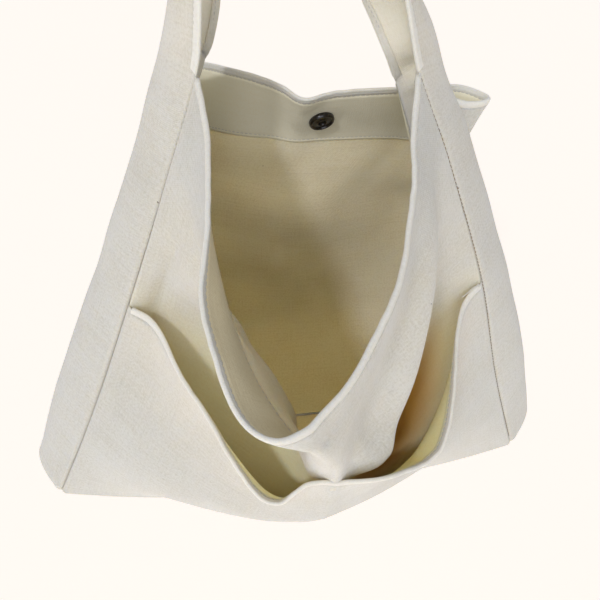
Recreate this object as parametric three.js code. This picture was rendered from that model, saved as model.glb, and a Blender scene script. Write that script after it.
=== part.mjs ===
// A natural cotton canvas shoulder tote, hanging by its one wide strap with its mouth fallen open.
// Millimetres, +Z up, +Y to the back of the bag, +X to the wearer's right as the front is seen.
// The tables are written from the front bottom corner line (y = 0, z = 0), and one group moves the
// whole bag so that the origin lies under the top of the strap, where it hangs.
import * as THREE from 'three';

// The cloth and how it is cut
const cloth = {
  wall: 1.2, // thickness of one layer
  gap: 0.4, // clearance between pieces that are sewn together
  hemDepth: 48, // width of the hem turned inside each mouth edge
  hemLayer: 1.3, // what the turned layer adds to the wall
};
const bandWidth = 95; // side band and strap are one strip of this width
const bandRoundness = 1.6; // 1 is a sharp V across the strip, 2 a soft arc
const pocketTop = 0.57; // the front pocket's edge, as a share of the side seam

// Where the strap goes over what holds it
const hang = { x: -12, radius: 27, centreZ: 575, frontY: 14, backY: 84 };
const strapLevel = 1.4; // last row of the band tables, where the run to the top arc starts

// Edges of the two side bands. Level 0 is the bottom, 1 the hem corner, above 1 the strap.
// Lean turns the strip's outward fold towards the back, in degrees.
const leftBand = [
  { level: 0, front: [-210, 0, 0], back: [-206, 77, 0], lean: 0 },
  { level: 0.28, front: [-164, 5, 98], back: [-166, 78, 95], lean: 0 },
  { level: 0.57, front: [-121, 10, 200], back: [-122, 87, 190], lean: 0 },
  { level: 0.85, front: [-82, 15, 298], back: [-78, 93, 284], lean: 0 },
  { level: 1, front: [-62, 18, 350], back: [-56, 94, 334], lean: 0 },
  { level: 1.1, front: [-57, 13, 386], back: [-46, 93, 370], lean: 0 },
  { level: 1.25, front: [-52, 11, 434], back: [-43, 92, 424], lean: 0 },
  { level: strapLevel, front: [-47, 12, 480], back: [-43, 88, 474], lean: 0 },
];
const rightBand = [
  { level: 0, front: [210, 0, 0], back: [206, 66, 0], lean: 0 },
  { level: 0.28, front: [170, 5, 98], back: [166, 58, 94], lean: 0 },
  { level: 0.57, front: [134, 10, 200], back: [124, 58, 188], lean: 8 },
  { level: 0.85, front: [89, 15, 298], back: [83, 60, 282], lean: 22 },
  { level: 1, front: [62, 18, 350], back: [65, 68, 325], lean: 33 },
  { level: 1.1, front: [47, 11, 387], back: [48, 94, 369], lean: 18 },
  { level: 1.25, front: [27, 10, 435], back: [26, 93, 424], lean: 14 },
  { level: strapLevel, front: [18, 12, 480], back: [18, 91, 474], lean: 0 },
];

// Sections of the front panel from the bottom to the hem: the middle of each, and how far its left and
// right halves bow away from the straight line to the seam. Peaks are the places of the largest bow as
// shares of the left and right halves, 0.5 where a row gives none. Rounding softens the middle.
const frontSections = [
  { level: 0, middle: [0, -6, -18], leftBow: [0, -4, -4], rightBow: [0, -4, -4] },
  { level: 0.25, middle: [2, -70, 32], leftBow: [-14, -8, -8], rightBow: [10, -5, -5] },
  { level: 0.57, middle: [7, -100, 109], leftBow: [14, 30, 6], rightBow: [0, 28, 6] },
  { level: 0.8, middle: [-8, -132, 194], leftBow: [-8, 14, 0], rightBow: [12, 18, -4], peaks: [0.6, 0.4] },
  {
    level: 1, middle: [-33, -153, 236], leftBow: [-23, -4, -2], rightBow: [27, 0, 0], peaks: [0.72, 0.4],
    rounding: 80,
  },
];

// The pocket's top edge, where its two halves gape between the side seams and the centre stitch
const pocketMouth = [
  { half: 'left', part: 'turn at the seam', at: [-103, -5, 194] },
  { half: 'left', part: 'upper flank', at: [-89, -34, 174] },
  { half: 'left', part: 'middle', at: [-73, -58, 163] },
  { half: 'left', part: 'lower flank', at: [-59, -83, 145] },
  { half: 'left', part: 'bottom', at: [-43, -99, 125] },
  { half: 'left', part: 'lowest', at: [-29, -102, 117] },
  { half: 'left', part: 'rise', at: [-18, -101, 126] },
  { half: 'left', part: 'rise to the stitch', at: [-9, -99, 131] },
  { half: 'right', part: 'beside the stitch', at: [16, -101, 133] },
  { half: 'right', part: 'bottom', at: [39, -103, 134] },
  { half: 'right', part: 'lower flank', at: [57, -98, 131] },
  { half: 'right', part: 'corner', at: [73, -91, 130] },
  { half: 'right', part: 'corner end', at: [85, -82, 137] },
  { half: 'right', part: 'middle', at: [98, -55, 158] },
  { half: 'right', part: 'upper flank', at: [111, -15, 184] },
  { half: 'right', part: 'turn at the seam', at: [121, 0, 193] },
];
const pocketStitch = 0.033; // place of its centre stitch across the front, -1 to 1
const pocketRise = 3; // how late on its way up the pocket leaves the front panel
const pocketPeak = { rise: 0.05, lift: 1, spread: 0.1, late: 4 }; // its edge is drawn up beside that stitch

// Folds across the front panel: a soft ridge (or valley, where its height is negative) between two
// places, each given as across (-1 to 1) and up (0 to 1)
const frontFolds = [
  { fold: 'right roll', from: [0.22, 0.6], to: [0.96, 0.98], width: 22, height: 24, peak: 0.25 },
  { fold: 'left valley', from: [-0.86, 0.86], to: [-0.52, 0.6], width: 14, height: -5, peak: 0.5 },
];
const panelCut = { width: 420, height: 380 }; // the folds' lengths and widths are measured on the cut

// Sections of the back panel below its hem
const backSections = [
  { level: 0, middle: [0, 72, -16], leftBow: [0, 2, -4], rightBow: [0, 2, -4] },
  { level: 0.3, middle: [0, 112, 92], leftBow: [-12, 26, -2], rightBow: [12, 26, -2], peaks: [0.4, 0.6] },
  { level: 0.65, middle: [2, 92, 215], leftBow: [-34, 44, 0], rightBow: [38, 36, 0], peaks: [0.35, 0.65] },
];

// The back panel's hem between its corners, at the mouth and at its lower edge: a fold behind the left
// strap, a notch pressed in beside the snap, and a flap that doubles back past the right strap.
const backHem = [
  { fold: 'left fold', mouth: [-90, 126, 323], lower: [-97, 124, 277] },
  { fold: 'left turn', mouth: [-72, 146, 318], lower: [-80, 142, 272] },
  { fold: 'left shoulder', mouth: [-34, 104, 323], lower: [-40, 108, 277] },
  { fold: 'notch side', mouth: [-9, 84, 320], lower: [-12, 99, 277] },
  { fold: 'notch', mouth: [4, 63, 319], lower: [3, 93, 277] },
  { fold: 'snap flank', mouth: [20, 68, 320], lower: [20, 93, 277] },
  { fold: 'right shoulder', mouth: [37, 72, 320], lower: [38, 93, 277] },
  { fold: 'right run', mouth: [68, 76, 320], lower: [70, 94, 276] },
  { fold: 'flap far side', mouth: [124, 101, 311], lower: [108, 100, 268] },
  { fold: 'flap tip', mouth: [144, 95, 306], lower: [126, 94, 262] },
  { fold: 'flap turn', mouth: [144, 86, 305], lower: [126, 87, 262] },
  { fold: 'flap near side', mouth: [124, 80, 306], lower: [110, 79, 264] },
  { fold: 'flap root', mouth: [92, 84, 316], lower: [94, 75, 274] },
];

// The snap on the inside of the mouth, its size and how far below the edges its halves sit. Around each
// half the cloth lies flat, and bends again between the two radii flat and fade (shares of the snap's own).
const snap = { radius: 9, down: 23, sides: 24, flat: 1.3, fade: 2.4 };
const snapAcross = { back: -0.055, front: 0.05 }; // places of its halves across their panels, -1 to 1
const socketOutline = [
  { part: 'base', radius: 9, height: 0 },
  { part: 'rim', radius: 9, height: 1.9 },
  { part: 'rim top', radius: 8.4, height: 3.2 },
  { part: 'rim inside', radius: 7.6, height: 3.2 },
  { part: 'sunk face', radius: 6.8, height: 2.2 },
  { part: 'hole edge', radius: 3.4, height: 2.4 },
  { part: 'hole', radius: 2.6, height: 2.2 },
  { part: 'hole floor', radius: 2.6, height: 1.1 },
];
const studOutline = [
  { part: 'base', radius: 9, height: 0 },
  { part: 'plate', radius: 9, height: 1 },
  { part: 'plate top', radius: 8.2, height: 1.6 },
  { part: 'post foot', radius: 2.1, height: 1.6 },
  { part: 'post', radius: 2.1, height: 3.5 },
  { part: 'post tip', radius: 1.5, height: 4 },
];

// Mesh steps of each piece
const steps = {
  front: { across: 36, below: 10, between: 6, hem: 3 },
  back: { across: 42, below: 14, hem: 3 },
  band: { across: 8, side: 16, strap: 8, run: 3, arc: 6 },
  bottom: { across: 24, up: 5 },
};
const hemStep = 3; // length over which the hem's turned layer thins out
const bottomSeamAngle = 60; // sharpest angle at the bottom seams, in degrees
const sharpestSeam = 35; // sharpest angle that the side seams are trimmed for
const sectionSamples = 80; // points along half a section while it is measured
const foldEnd = 0.15; // share of a fold's half wave that is cut off at each end, so that it starts softly
const edgeHold = 6; // how closely a panel's pull towards its seams stays at the seams
const smoothing = 20; // rounds of smoothing over a section's middle, where its row gives none
const probe = 0.004; // step across and up over which a surface's face direction is measured
const levelProbe = 0.01; // step in level over which a band's own direction is measured
const foldParts = 40; // straight pieces that a band's section is measured in
const halvings = 30; // rounds of halving to find the height of a band's fold

const canvas = new THREE.MeshStandardMaterial({ name: 'canvas', color: 0xdcd8ca, roughness: 0.95 });
const snapMetal = new THREE.MeshStandardMaterial({ name: 'snap_metal', color: 0x1d1814, roughness: 0.35 });
snapMetal.metalness = 0.8;

const point = (list) => new THREE.Vector3(...list);
const mix = (a, b, t) => a + (b - a) * t;

// Smooth curve through places at rising stations (a cubic with slopes from the neighbours)
function through(stations, places, at) {
  const last = stations.length - 1;
  let i = 0;
  while (i < last - 1 && at > stations[i + 1]) i += 1;
  const slope = (k) => {
    const a = Math.max(k - 1, 0);
    const b = Math.min(k + 1, last);
    return places[b].clone().sub(places[a]).divideScalar(stations[b] - stations[a]);
  };
  const span = stations[i + 1] - stations[i];
  const t = (at - stations[i]) / span;
  const t2 = t * t;
  const t3 = t2 * t;
  return new THREE.Vector3()
    .addScaledVector(places[i], 2 * t3 - 3 * t2 + 1)
    .addScaledVector(slope(i), (t3 - 2 * t2 + t) * span)
    .addScaledVector(places[i + 1], 3 * t2 - 2 * t3)
    .addScaledVector(slope(i + 1), (t3 - t2) * span);
}

// 0 at both ends of 0..1 and 1 at the peak
function bump(t, peak) {
  const a = Math.max(1, peak / (1 - peak));
  const b = Math.max(1, (1 - peak) / peak);
  const top = a / (a + b);
  return (t ** a * (1 - t) ** b) / (top ** a * (1 - top) ** b);
}

// A line of points read by its own length or a like line's: across -1 is its first point, 1 its last
function byLength(line, ruler = line) {
  const reach = [0];
  for (let i = 1; i < line.length; i += 1) reach.push(reach[i - 1] + ruler[i].distanceTo(ruler[i - 1]));
  const total = reach[reach.length - 1];
  return (across) => {
    const at = ((across + 1) / 2) * total;
    let i = 0;
    while (i < line.length - 2 && at > reach[i + 1]) i += 1;
    return line[i].clone().lerp(line[i + 1], (at - reach[i]) / (reach[i + 1] - reach[i]));
  };
}

// One edge of a side band at a level
function bandEdge(rows, edge, level) {
  return through(rows.map((r) => r.level), rows.map((r) => point(r[edge])), level);
}

// One section of a panel: two halves that bow between the seams and its middle
function panelSection(row, edge) {
  const from = bandEdge(leftBand, edge, row.level);
  const to = bandEdge(rightBand, edge, row.level);
  const middle = point(row.middle);
  const [leftPeak, rightPeak] = row.peaks ?? [0.5, 0.5];
  const line = [];
  for (let i = 0; i < sectionSamples; i += 1) {
    const t = i / sectionSamples;
    line.push(from.clone().lerp(middle, t).addScaledVector(point(row.leftBow), bump(t, leftPeak)));
  }
  for (let i = 0; i <= sectionSamples; i += 1) {
    const t = i / sectionSamples;
    line.push(middle.clone().lerp(to, t).addScaledVector(point(row.rightBow), bump(t, rightPeak)));
  }
  for (let round = 0; round < (row.rounding ?? smoothing); round += 1) {
    const before = line.map((p) => p.clone());
    for (let i = 1; i < line.length - 1; i += 1) {
      line[i].copy(before[i]).multiplyScalar(0.5);
      line[i].addScaledVector(before[i - 1], 0.25).addScaledVector(before[i + 1], 0.25);
    }
  }
  return byLength(line);
}

// A surface's direction out of its face, with across and up held inside their ranges
function faceNormal(surface, across, up) {
  const left = surface(Math.max(-1, across - probe), up);
  const right = surface(Math.min(1, across + probe), up);
  const low = surface(across, Math.max(0, up - probe));
  const high = surface(across, Math.min(1, up + probe));
  return right.sub(left).cross(high.sub(low)).normalize();
}

// A panel through its sections, as a function of across (-1 to 1) and up (0 to 1), drawn on to the
// bands' edges between the sections
function loft(levels, sections, edge) {
  const plain = (across, up) => through(levels, sections.map((s) => s(across)), up);
  return (across, up) => {
    const side = across < 0 ? -1 : 1;
    const off = bandEdge(side < 0 ? leftBand : rightBand, edge, up).sub(plain(side, up));
    return plain(across, up).addScaledVector(off, Math.abs(across) ** edgeHold);
  };
}

const frontLoft = loft(
  frontSections.map((r) => r.level),
  frontSections.map((r) => panelSection(r, 'front')),
  'front',
);

// The same surface with folds raised along its face
function withFolds(surface, folds) {
  const onCut = ([across, up]) => new THREE.Vector2((across * panelCut.width) / 2, up * panelCut.height);
  return (across, up) => {
    const here = onCut([across, up]);
    let rise = 0;
    for (const { from, to, width, height, peak } of folds) {
      const start = onCut(from);
      const run = onCut(to).sub(start);
      const along = here.clone().sub(start).dot(run) / run.lengthSq();
      const held = THREE.MathUtils.clamp(along, 0, 1);
      const off = here.distanceTo(start.clone().addScaledVector(run, held)) / width;
      rise += height * Math.exp(-off * off) * bump(mix(foldEnd, 1 - foldEnd, held), peak);
    }
    rise *= 1 - Math.abs(across) ** edgeHold;
    return surface(across, up).addScaledVector(faceNormal(surface, across, up), rise);
  };
}

// A smooth curve through places, read by its own length or by that of the curve through others
function curve(places, others = places) {
  const stations = [0];
  for (let i = 1; i < others.length; i += 1) {
    stations.push(stations[i - 1] + Math.sqrt(others[i].distanceTo(others[i - 1])));
  }
  const line = [];
  const ruler = [];
  for (let i = 0; i <= 2 * sectionSamples; i += 1) {
    const at = (stations[stations.length - 1] * i) / (2 * sectionSamples);
    line.push(through(stations, places, at));
    ruler.push(through(stations, others, at));
  }
  return byLength(line, ruler);
}

const panelHeight = bandEdge(leftBand, 'front', 1).distanceTo(bandEdge(leftBand, 'front', 0));
const hemStart = 1 - cloth.hemDepth / panelHeight;

// The hem's folds stay in line from its lower edge up to the mouth
function backHemPlaces(edge, level) {
  const corners = [bandEdge(leftBand, 'back', level), bandEdge(rightBand, 'back', level)];
  return [corners[0], ...backHem.map((r) => point(r[edge])), corners[1]];
}
const mouthPlaces = backHemPlaces('mouth', 1);
const hemSections = [curve(backHemPlaces('lower', hemStart), mouthPlaces), curve(mouthPlaces)];

const backLoft = loft(
  [...backSections.map((r) => r.level), hemStart, 1],
  [...backSections.map((r) => panelSection(r, 'back')), ...hemSections],
  'back',
);

// The cloth lies flat where a half of the snap is pressed through it
const snapUp = 1 - snap.down / panelHeight;

function flatUnderSnap(surface, seat) {
  const reach = 0.05;
  const across = (snap.radius * reach) / surface(seat + reach, snapUp).distanceTo(surface(seat, snapUp));
  const centre = new THREE.Vector3();
  const normal = new THREE.Vector3();
  for (let k = 0; k < snap.sides; k += 1) {
    const angle = (2 * Math.PI * k) / snap.sides;
    const u = seat + across * Math.cos(angle);
    const v = snapUp + (snap.radius / panelHeight) * Math.sin(angle);
    centre.addScaledVector(surface(u, v), 1 / snap.sides);
    normal.add(faceNormal(surface, u, v));
  }
  normal.normalize();
  return (u, v) => {
    const place = surface(u, v);
    const far = place.distanceTo(centre) / snap.radius;
    const share = 1 - THREE.MathUtils.smoothstep(far, snap.flat, snap.fade);
    return place.addScaledVector(normal, centre.clone().sub(place).dot(normal) * share);
  };
}
const frontSurface = flatUnderSnap(withFolds(frontLoft, frontFolds), snapAcross.front);
const backSurface = flatUnderSnap(backLoft, snapAcross.back);

// Where the pocket would lie flat on the front panel (without the panel's folds), its edge drawn up
// beside the centre stitch
function pocketBase(across, up) {
  const off = (across - pocketStitch) / pocketPeak.spread;
  const peak = Math.exp(-off * off) * up ** pocketPeak.late;
  const level = up * pocketTop + pocketPeak.rise * peak;
  const lift = cloth.wall + cloth.gap + pocketPeak.lift * peak;
  return frontLoft(across, level).addScaledVector(faceNormal(frontLoft, across, level), lift);
}

// The pocket is held at its seams and centre stitch, and gapes between them
const pocketEnds = [-1, pocketStitch, 1].map((across) => pocketBase(across, 1));
const mouthHalf = (half) => pocketMouth.filter((r) => r.half === half).map((r) => point(r.at));
const pocketLeft = curve([pocketEnds[0], ...mouthHalf('left'), pocketEnds[1]]);
const pocketRight = curve([pocketEnds[1], ...mouthHalf('right'), pocketEnds[2]]);

function pocketSurface(across, up) {
  const left = across < pocketStitch;
  const share = left ? (across + 1) / (pocketStitch + 1) : (across - pocketStitch) / (1 - pocketStitch);
  const edge = (left ? pocketLeft : pocketRight)(2 * share - 1);
  const gape = edge.sub(pocketBase(across, 1));
  return pocketBase(across, up).addScaledVector(gape, up ** pocketRise);
}

// How far the strip's fold stands off the straight line between its edges, so that the strip
// keeps its cut width
function foldHeight(chord) {
  const lengthAt = (height) => {
    let sum = 0;
    for (let i = 0; i < foldParts; i += 1) {
      const rise = (w) => height * (1 - Math.abs(w) ** bandRoundness);
      const w0 = -1 + (2 * i) / foldParts;
      const w1 = -1 + (2 * (i + 1)) / foldParts;
      sum += Math.hypot(((w1 - w0) * chord) / 2, rise(w1) - rise(w0));
    }
    return sum;
  };
  let low = 0;
  let high = bandWidth;
  for (let i = 0; i < halvings; i += 1) {
    const half = (low + high) / 2;
    if (lengthAt(half) < bandWidth) low = half;
    else high = half;
  }
  return low;
}

// The centre line of a band: its tables, then a straight run, then a quarter of the top arc
const runLength = hang.centreZ - bandEdge(leftBand, 'front', strapLevel).z;
const arcLength = (hang.radius * Math.PI) / 2;
const strapRise = bandEdge(leftBand, 'front', strapLevel).z - bandEdge(leftBand, 'front', 1).z;
const bandTop = strapLevel + ((strapLevel - 1) * (runLength + arcLength)) / strapRise;

function bandFrame(rows, side, level) {
  if (level <= strapLevel) {
    return { front: bandEdge(rows, 'front', level), back: bandEdge(rows, 'back', level) };
  }
  const travelled = ((level - strapLevel) / (bandTop - strapLevel)) * (runLength + arcLength);
  const edgeAt = (edge, y) => {
    const start = point(rows[rows.length - 1][edge]);
    const end = new THREE.Vector3(hang.x + side * hang.radius, y, hang.centreZ);
    if (travelled < runLength) return start.lerp(end, travelled / runLength);
    const angle = (travelled - runLength) / hang.radius;
    end.x = hang.x + side * hang.radius * Math.cos(angle);
    end.z = hang.centreZ + hang.radius * Math.sin(angle);
    return end;
  };
  return { front: edgeAt('front', hang.frontY), back: edgeAt('back', hang.backY) };
}

// A side band: across -1 is its front edge, 1 its back edge; up is 0 at the bottom, 1 at the hang
function bandSurface(rows, side) {
  return (across, up) => {
    const level = up * bandTop;
    const here = bandFrame(rows, side, level);
    const before = bandFrame(rows, side, Math.max(0, level - levelProbe));
    const after = bandFrame(rows, side, level + levelProbe);
    const centre = here.front.clone().add(here.back).multiplyScalar(0.5);
    const along = after.front.add(after.back).sub(before.front).sub(before.back).normalize();
    const chord = here.back.clone().sub(here.front);
    const width = chord.length();
    chord.divideScalar(width);
    const out = chord.clone().cross(along).multiplyScalar(side).normalize();
    const leans = rows.map((r) => new THREE.Vector3(r.lean, 0, 0));
    const lean = level < strapLevel ? through(rows.map((r) => r.level), leans, level).x : 0;
    const tilt = THREE.MathUtils.degToRad(lean);
    const fold = out.multiplyScalar(Math.cos(tilt)).addScaledVector(chord, Math.sin(tilt));
    const rise = foldHeight(width) * (1 - Math.abs(across) ** bandRoundness);
    return centre.addScaledVector(chord, (across * width) / 2).addScaledVector(fold, rise);
  };
}
const leftSurface = bandSurface(leftBand, -1);
const rightSurface = bandSurface(rightBand, 1);

// The bottom fills between the panels' bottom edges and the bands' bottom ends
function bottomSurface(across, back) {
  const p = (across + 1) / 2;
  const w = 2 * back - 1;
  const corner = (side, edge) => point((side < 0 ? leftBand : rightBand)[0][edge]);
  return new THREE.Vector3()
    .addScaledVector(frontSurface(across, 0), 1 - back)
    .addScaledVector(backSurface(across, 0), back)
    .addScaledVector(leftSurface(w, 0), 1 - p)
    .addScaledVector(rightSurface(w, 0), p)
    .addScaledVector(corner(-1, 'front'), -(1 - p) * (1 - back))
    .addScaledVector(corner(1, 'front'), -p * (1 - back))
    .addScaledVector(corner(-1, 'back'), -(1 - p) * back)
    .addScaledVector(corner(1, 'back'), -p * back);
}

const hemLayer = (up) => (up >= hemStart ? cloth.hemLayer : 0);

// How far two sewn layers stop short of their seam, so that walls meeting at this angle stay clear
function seamInset(angle, thickness = cloth.wall) {
  const half = Math.max(angle, THREE.MathUtils.degToRad(sharpestSeam)) / 2;
  return thickness / 2 / Math.tan(half) + cloth.gap / 2 / Math.sin(half);
}

// Direction and speed of a piece's first facet as it leaves one of its side edges
function leaving(surface, columns, side, up) {
  const facet = 2 / columns;
  const edge = surface(side, up);
  const step = surface(side * (1 - facet), up).sub(edge);
  return { direction: step.clone().normalize(), speed: step.length() / facet };
}

// How far a panel or a band stops short of their common seam at a level, as a share of its across
function seamTrim(own, other, level) {
  const inset = seamInset(own.direction.angleTo(other.direction), cloth.wall + 2 * hemLayer(level));
  return inset / own.speed;
}

// A panel's trim at its side seams; the band's edge there is -1 at the front and 1 at the back
function sideTrim(panel, columns, bandSide) {
  return (side, level) => {
    const band = side < 0 ? leftSurface : rightSurface;
    const own = leaving(panel, columns, side, level);
    return seamTrim(own, leaving(band, steps.band.across, bandSide, level / bandTop), level);
  };
}

// A band's trim, which follows the panels up to the hem corners and is none on the strap
function bandTrim(band, side) {
  return (bandSide, up) => {
    const level = up * bandTop;
    if (level > 1) return 0;
    const own = leaving(band, steps.band.across, bandSide, up);
    const panel = bandSide < 0
      ? leaving(frontSurface, steps.front.across, side, level)
      : leaving(backSurface, steps.back.across, side, level);
    return seamTrim(own, panel, level);
  };
}

// Evenly spaced values from one to another
function spread(from, to, count) {
  return Array.from({ length: count + 1 }, (_, k) => mix(from, to, k / count));
}

// A closed sheet of cloth around a surface. Rows are its heights, trim the sides' insets as shares
// of across, and front and behind what is added to the wall on its face side and behind it.
function sheet(name, surface, columns, rows, trim, { front = () => 0, behind = () => 0 } = {}) {
  const positions = [];
  const index = [];
  const across = columns + 1;
  for (const layer of [1, -1]) {
    for (const up of rows) {
      const added = layer > 0 ? front(up) : behind(up);
      for (const u of spread(-1 + trim(-1, up), 1 - trim(1, up), columns)) {
        const place = surface(u, up);
        place.addScaledVector(faceNormal(surface, u, up), layer * (cloth.wall / 2 + added));
        positions.push(place.x, place.y, place.z);
      }
    }
  }
  const at = (layer, j, i) => (layer * rows.length + j) * across + i;
  const quad = (a, b, c, d) => index.push(a, b, c, a, c, d);
  for (let j = 0; j < rows.length - 1; j += 1) {
    for (let i = 0; i < columns; i += 1) {
      quad(at(0, j, i), at(0, j, i + 1), at(0, j + 1, i + 1), at(0, j + 1, i));
      quad(at(1, j, i), at(1, j + 1, i), at(1, j + 1, i + 1), at(1, j, i + 1));
    }
    quad(at(0, j, 0), at(0, j + 1, 0), at(1, j + 1, 0), at(1, j, 0));
    quad(at(0, j, across - 1), at(1, j, across - 1), at(1, j + 1, across - 1), at(0, j + 1, across - 1));
  }
  const top = rows.length - 1;
  for (let i = 0; i < columns; i += 1) {
    quad(at(0, 0, i), at(1, 0, i), at(1, 0, i + 1), at(0, 0, i + 1));
    quad(at(0, top, i), at(0, top, i + 1), at(1, top, i + 1), at(1, top, i));
  }
  const geometry = new THREE.BufferGeometry();
  geometry.setAttribute('position', new THREE.Float32BufferAttribute(positions, 3));
  geometry.setIndex(index);
  geometry.computeVertexNormals();
  const mesh = new THREE.Mesh(geometry, canvas);
  mesh.name = name;
  return mesh;
}

const bottomInset = seamInset(THREE.MathUtils.degToRad(bottomSeamAngle));
const firstRow = bottomInset / panelHeight;
const hemRows = [hemStart - hemStep / panelHeight, ...spread(hemStart, 1, steps.front.hem)];
const pocketRows = spread(firstRow, pocketTop, steps.front.below);
const frontTrim = sideTrim(frontSurface, steps.front.across, -1);

function frontPanel() {
  const { across, between } = steps.front;
  const rows = [...pocketRows, ...spread(pocketTop, hemRows[0], between).slice(1, -1), ...hemRows];
  return sheet('front_panel', frontSurface, across, rows, frontTrim, { behind: hemLayer });
}

function backPanel() {
  const { across, below } = steps.back;
  const rows = [...spread(firstRow, hemRows[0], below).slice(0, -1), ...hemRows];
  const trim = sideTrim(backSurface, across, 1);
  return sheet('back_panel', backSurface, across, rows, trim, { front: hemLayer });
}

function pocketPanel() {
  const rows = pocketRows.map((level) => level / pocketTop);
  const trim = (side, up) => frontTrim(side, up * pocketTop);
  return sheet('pocket_panel', pocketSurface, steps.front.across, rows, trim);
}

function bottomPanel() {
  const { across, up } = steps.bottom;
  const halfLength = bandEdge(rightBand, 'front', 0).x;
  const inset = bottomInset / bandWidth;
  const rows = spread(inset, 1 - inset, up);
  return sheet('bottom_panel', bottomSurface, across, rows, () => bottomInset / halfLength);
}

function sideBand(name, surface, side) {
  const { across, side: beside, strap, run, arc } = steps.band;
  const arcStart = mix(strapLevel, bandTop, runLength / (runLength + arcLength));
  const levels = [
    ...spread(firstRow, 1, beside),
    ...spread(1, strapLevel, strap).slice(1),
    ...spread(strapLevel, arcStart, run).slice(1),
    ...spread(arcStart, bandTop - cloth.gap / 2 / panelHeight, arc).slice(1),
  ];
  return sheet(name, surface, across, levels.map((level) => level / bandTop), bandTrim(surface, side));
}

// Sets half of the snap on a panel's inner face
function seatOnCloth(mesh, surface, seat, inward) {
  const normal = faceNormal(surface, seat, snapUp).multiplyScalar(inward);
  const lift = cloth.wall / 2 + cloth.hemLayer + cloth.gap;
  mesh.position.copy(surface(seat, snapUp)).addScaledVector(normal, lift);
  mesh.quaternion.setFromUnitVectors(new THREE.Vector3(0, 1, 0), normal);
  return mesh;
}

// A piece turned around its axis from an outline that runs outwards along its base and back at the top
function turned(name, outline) {
  const profile = outline.map((row) => new THREE.Vector2(row.radius, row.height));
  profile.unshift(new THREE.Vector2(0, outline[0].height));
  profile.push(new THREE.Vector2(0, outline[outline.length - 1].height));
  const mesh = new THREE.Mesh(new THREE.LatheGeometry(profile, snap.sides), snapMetal);
  mesh.name = name;
  return mesh;
}

const bag = new THREE.Group();
bag.add(frontPanel(), backPanel(), pocketPanel(), bottomPanel());
bag.add(sideBand('left_side_band', leftSurface, -1), sideBand('right_side_band', rightSurface, 1));
bag.add(seatOnCloth(turned('snap_socket', socketOutline), backSurface, snapAcross.back, 1));
bag.add(seatOnCloth(turned('snap_stud', studOutline), frontSurface, snapAcross.front, -1));

// The hanging point is on the inside of the strap's fold at its top
const strapFold = leftSurface(0, 1);
bag.position.set(-hang.x, -strapFold.y, -(strapFold.z - cloth.wall / 2));

const tote = new THREE.Group();
tote.add(bag);
export default tote;
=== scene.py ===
import math
import bpy
import numpy as np
from mathutils import Matrix, Vector


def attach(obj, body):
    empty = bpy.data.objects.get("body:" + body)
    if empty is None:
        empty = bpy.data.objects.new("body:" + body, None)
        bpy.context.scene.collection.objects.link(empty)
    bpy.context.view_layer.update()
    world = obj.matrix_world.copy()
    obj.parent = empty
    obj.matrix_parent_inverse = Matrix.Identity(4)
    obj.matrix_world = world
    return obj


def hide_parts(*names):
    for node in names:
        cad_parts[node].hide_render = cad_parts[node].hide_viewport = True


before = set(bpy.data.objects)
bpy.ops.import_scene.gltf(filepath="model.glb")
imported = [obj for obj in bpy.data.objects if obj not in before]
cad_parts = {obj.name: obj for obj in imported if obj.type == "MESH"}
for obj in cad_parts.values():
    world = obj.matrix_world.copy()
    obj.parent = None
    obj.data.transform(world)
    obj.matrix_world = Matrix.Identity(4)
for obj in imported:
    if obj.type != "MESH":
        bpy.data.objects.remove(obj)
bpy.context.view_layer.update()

print("frame loaded:", len(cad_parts), "nodes")

mm = 0.001
bagToFrame = np.array((12.0, -49.0, -631.97))  # the tables below start at the front bottom corner line

# how the cloth is cut, in millimetres
cut = {"width": 420.0, "height": 380.0, "band": 95.0, "bandRound": 1.6, "pocketTop": 0.57,
       "layer": 0.95, "apart": 1.6, "hem": 48.0, "seamTurn": 4.0, "allowance": 9.0,
       "bottomAllowance": 4.2}
hang = {"x": -12.0, "radius": 27.0, "centreZ": 575.0, "frontY": 14.0, "backY": 84.0, "strapLevel": 1.4}

# edges of the side bands: level, front edge, back edge, lean of the fold
leftRows = [
    (0.00, (-210, 0, 0), (-206, 77, 0), 0), (0.28, (-164, 5, 98), (-166, 78, 95), 0),
    (0.57, (-121, 10, 200), (-122, 87, 190), 0), (0.85, (-82, 15, 298), (-78, 93, 284), 0),
    (1.00, (-62, 18, 350), (-56, 94, 334), 0), (1.10, (-57, 13, 386), (-46, 93, 370), 0),
    (1.25, (-52, 11, 434), (-43, 92, 424), 0), (1.40, (-47, 12, 480), (-43, 88, 474), 0)]
rightRows = [
    (0.00, (210, 0, 0), (206, 66, 0), 0), (0.28, (170, 5, 98), (166, 58, 94), 0),
    (0.57, (134, 10, 200), (124, 58, 188), 8), (0.85, (89, 15, 298), (83, 60, 282), 22),
    (1.00, (62, 18, 350), (65, 68, 325), 33), (1.10, (47, 11, 387), (48, 94, 369), 18),
    (1.25, (27, 10, 435), (26, 93, 424), 14), (1.40, (18, 12, 480), (18, 91, 474), 0)]

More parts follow.
